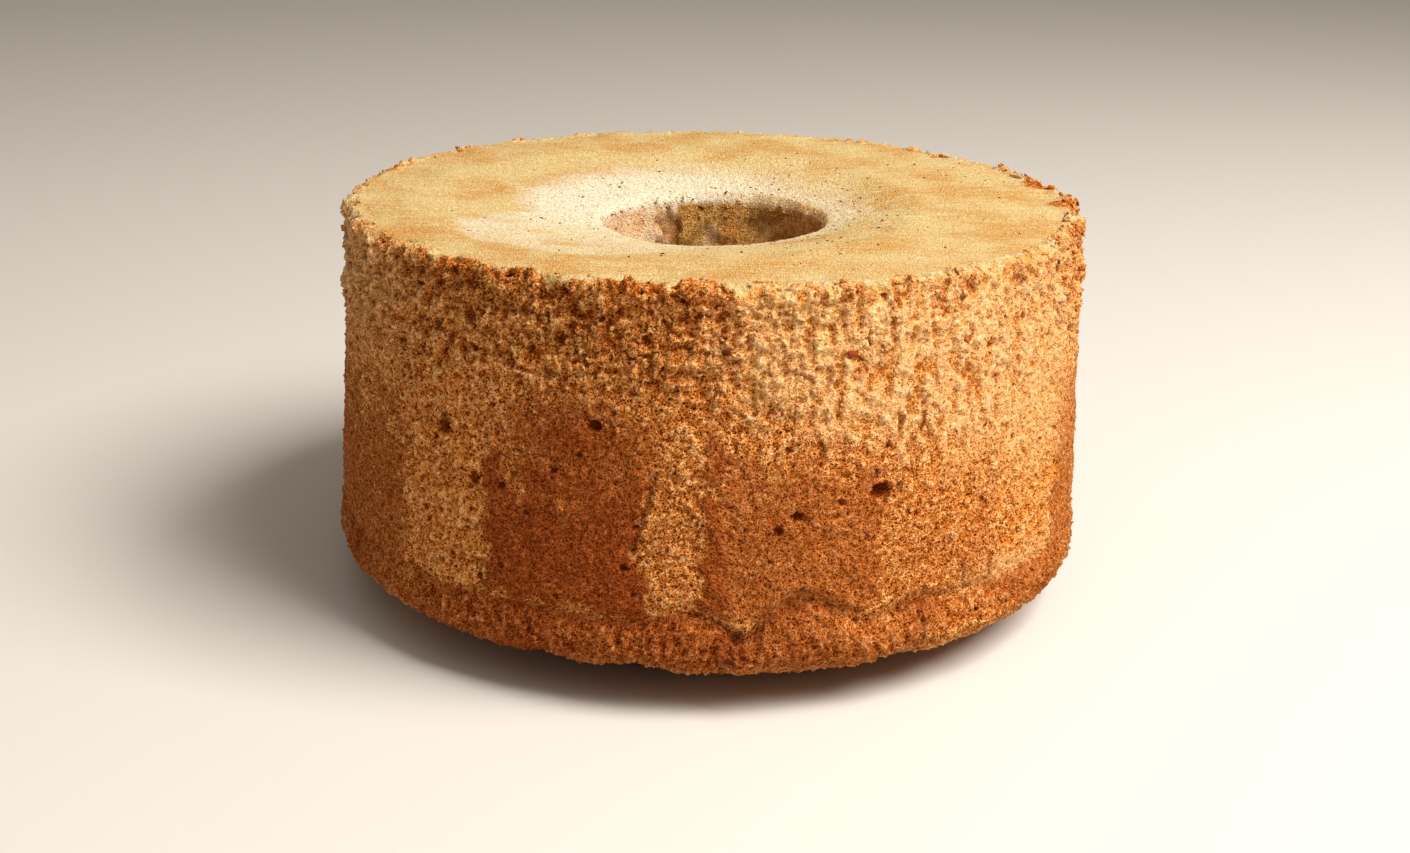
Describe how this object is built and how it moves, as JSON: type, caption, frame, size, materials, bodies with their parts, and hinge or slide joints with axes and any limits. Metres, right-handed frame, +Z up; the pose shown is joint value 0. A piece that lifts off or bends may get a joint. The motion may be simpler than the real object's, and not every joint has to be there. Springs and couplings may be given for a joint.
{
  "type": "chiffon cake",
  "caption": "Tall ring-shaped chiffon sponge cake, whole and uncut, with a tapered centre hole, a shallow dish round it, a ragged rim and a folded roll near the foot.",
  "frame": {"origin": "centre of the bounding box in plan, at the foot on which the cake rests", "axes": "+Z up along the centre hole, -Y towards the side that the picture shows, +X to that view's right"},
  "size_m": [0.1708, 0.1708, 0.0877],
  "materials": {
    "browned_sponge": "dry, rough and porous browned sponge crumb"
  },
  "bodies": {
    "root": {"cake": "browned_sponge"}
  },
  "joints": []
}
